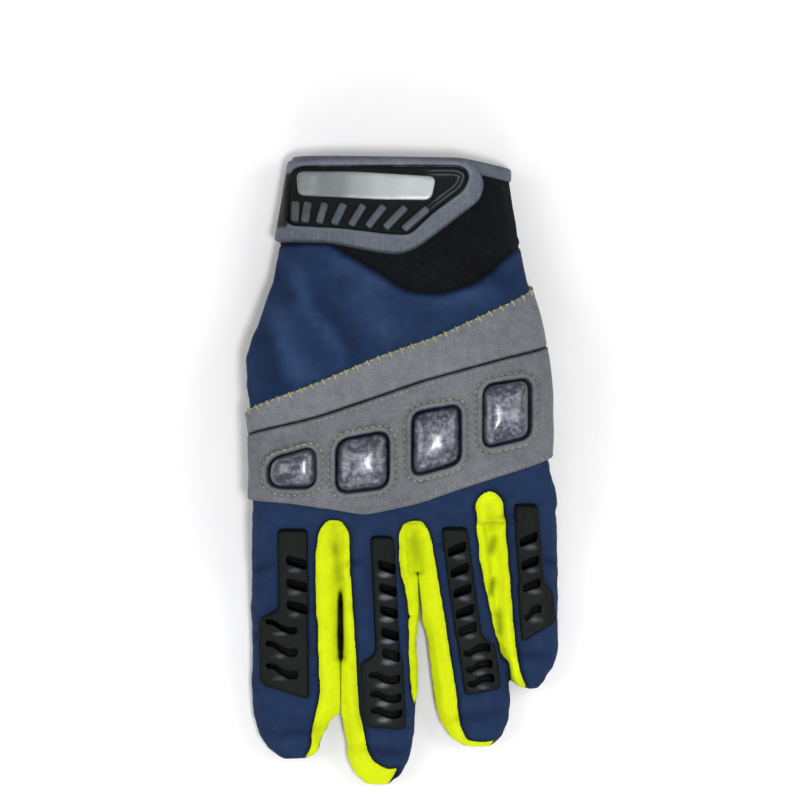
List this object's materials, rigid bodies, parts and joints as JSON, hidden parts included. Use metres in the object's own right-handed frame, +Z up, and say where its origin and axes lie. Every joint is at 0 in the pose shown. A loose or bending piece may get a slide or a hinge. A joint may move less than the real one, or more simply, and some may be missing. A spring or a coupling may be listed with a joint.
{
  "type": "impact glove",
  "caption": "Left-hand work glove with a padded knuckle guard, rubber finger guards, bright finger side walls and a closed wrist strap, lying on its palm.",
  "frame": {"origin": "middle of the glove on the surface that it lies on", "axes": "+Z up through the back of the hand, +Y from fingertips to cuff, +X from thumb side to little finger"},
  "size_m": [0.1256, 0.251, 0.0442],
  "materials": {
    "navy_cloth": "matt stretch cloth",
    "yellow_cloth": "matt fluorescent cloth",
    "black_leather": "soft synthetic leather",
    "black_neoprene": "matt padded cloth",
    "grey_leather": "soft synthetic leather",
    "grey_rubber": "satin moulded rubber",
    "black_rubber": "satin moulded rubber",
    "carbon_shell": "gloss, woven look",
    "silver_plate": "satin silver"
  },
  "bodies": {
    "root": {"hand_back": "navy_cloth", "finger_panel": "navy_cloth", "thumb_back": "navy_cloth", "fourchette_index_middle": "yellow_cloth", "fourchette_middle_ring": "yellow_cloth", "fourchette_ring_pinky": "yellow_cloth", "palm_panel": "black_leather", "thumb_front": "black_leather", "cuff": "black_neoprene", "guard_strip": "grey_leather", "knuckle_guard": "grey_leather", "closure_strap": "grey_rubber", "cuff_binding": "grey_rubber", "tab_rib_1": "grey_rubber", "tab_rib_2": "grey_rubber", "tab_rib_3": "grey_rubber", "tab_rib_4": "grey_rubber", "tab_rib_5": "grey_rubber", "tab_rib_6": "grey_rubber", "tab_rib_7": "grey_rubber", "tab_rib_8": "grey_rubber", "tab_inlay": "black_rubber", "finger_guard_index": "black_rubber", "finger_guard_middle": "black_rubber", "finger_guard_ring": "black_rubber", "finger_guard_pinky": "black_rubber", "knuckle_cap_index": "carbon_shell", "knuckle_cap_middle": "carbon_shell", "knuckle_cap_ring": "carbon_shell", "knuckle_cap_pinky": "carbon_shell", "tab_plate": "silver_plate"}
  },
  "joints": []
}
